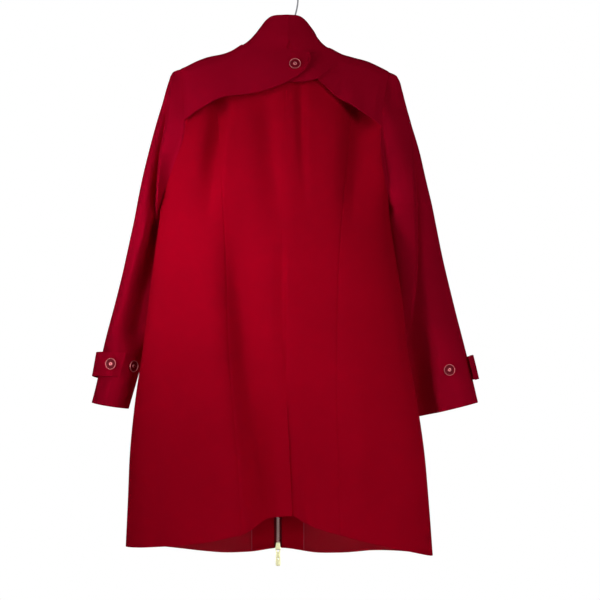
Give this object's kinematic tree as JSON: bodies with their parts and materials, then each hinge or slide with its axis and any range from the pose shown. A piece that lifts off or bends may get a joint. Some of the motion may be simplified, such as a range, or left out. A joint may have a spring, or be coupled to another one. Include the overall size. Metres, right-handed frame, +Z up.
{
  "type": "car coat on a hanger",
  "caption": "Knee-length zipped car coat with funnel collar, buttoned back flaps, vent and cuff tabs, hanging on a plain hanger.",
  "frame": {"origin": "inner top of the hook, where the rod carries the hanger", "axes": "+X to the wearer's right, +Y out of the wearer's front, +Z up; metres"},
  "size_m": [0.6827, 0.1828, 1.0193],
  "materials": {
    "coat_cloth": "matt woven wool blend",
    "collar_cloth": "matt woven wool blend",
    "facing_cloth": "matt woven wool blend",
    "button_gold": "polished rim with a dark red band",
    "zip_tape": "woven tape",
    "zip_metal": "pale gold, worn",
    "hanger_plastic": "matt",
    "hook_steel": "dark drawn wire"
  },
  "bodies": {
    "coat": {"back_centre_left": "coat_cloth", "back_centre_right": "coat_cloth", "back_side_left": "coat_cloth", "back_side_right": "coat_cloth", "front_left": "coat_cloth", "front_right": "coat_cloth", "front_facing_left": "facing_cloth", "front_facing_right": "facing_cloth", "sleeve_left": "coat_cloth", "sleeve_right": "coat_cloth", "collar": "collar_cloth", "back_flap_left": "collar_cloth", "back_flap_right": "collar_cloth", "cuff_tab_left": "coat_cloth", "cuff_tab_right": "coat_cloth", "button_flap": "button_gold", "button_tab_left": "button_gold", "button_spare_left": "button_gold", "button_tab_right": "button_gold", "button_spare_right": "button_gold", "zip_tape_left": "zip_tape", "zip_tape_right": "zip_tape", "zip_chain": "zip_metal", "zip_slider_bottom": "zip_metal", "zip_slider_top": "zip_metal", "hanger_bar": "hanger_plastic", "hanger_hook": "hook_steel"},
    "pull_bottom": {"zip_pull_bottom": "zip_metal"},
    "pull_top": {"zip_pull_top": "zip_metal"}
  },
  "joints": [
    {"name": "pull_bottom_swing", "type": "hinge", "parent": "coat", "child": "pull_bottom", "pos_m": [-0.01803, 0.0892, -0.98301], "axis": [0.9999, 0.0107, 0.0017], "range_deg": [0, 150]},
    {"name": "pull_top_swing", "type": "hinge", "parent": "coat", "child": "pull_top", "pos_m": [-0.00544, 0.05349, -0.18499], "axis": [0.9999, 0.0118, -0.0117], "range_deg": [0, 150]}
  ]
}
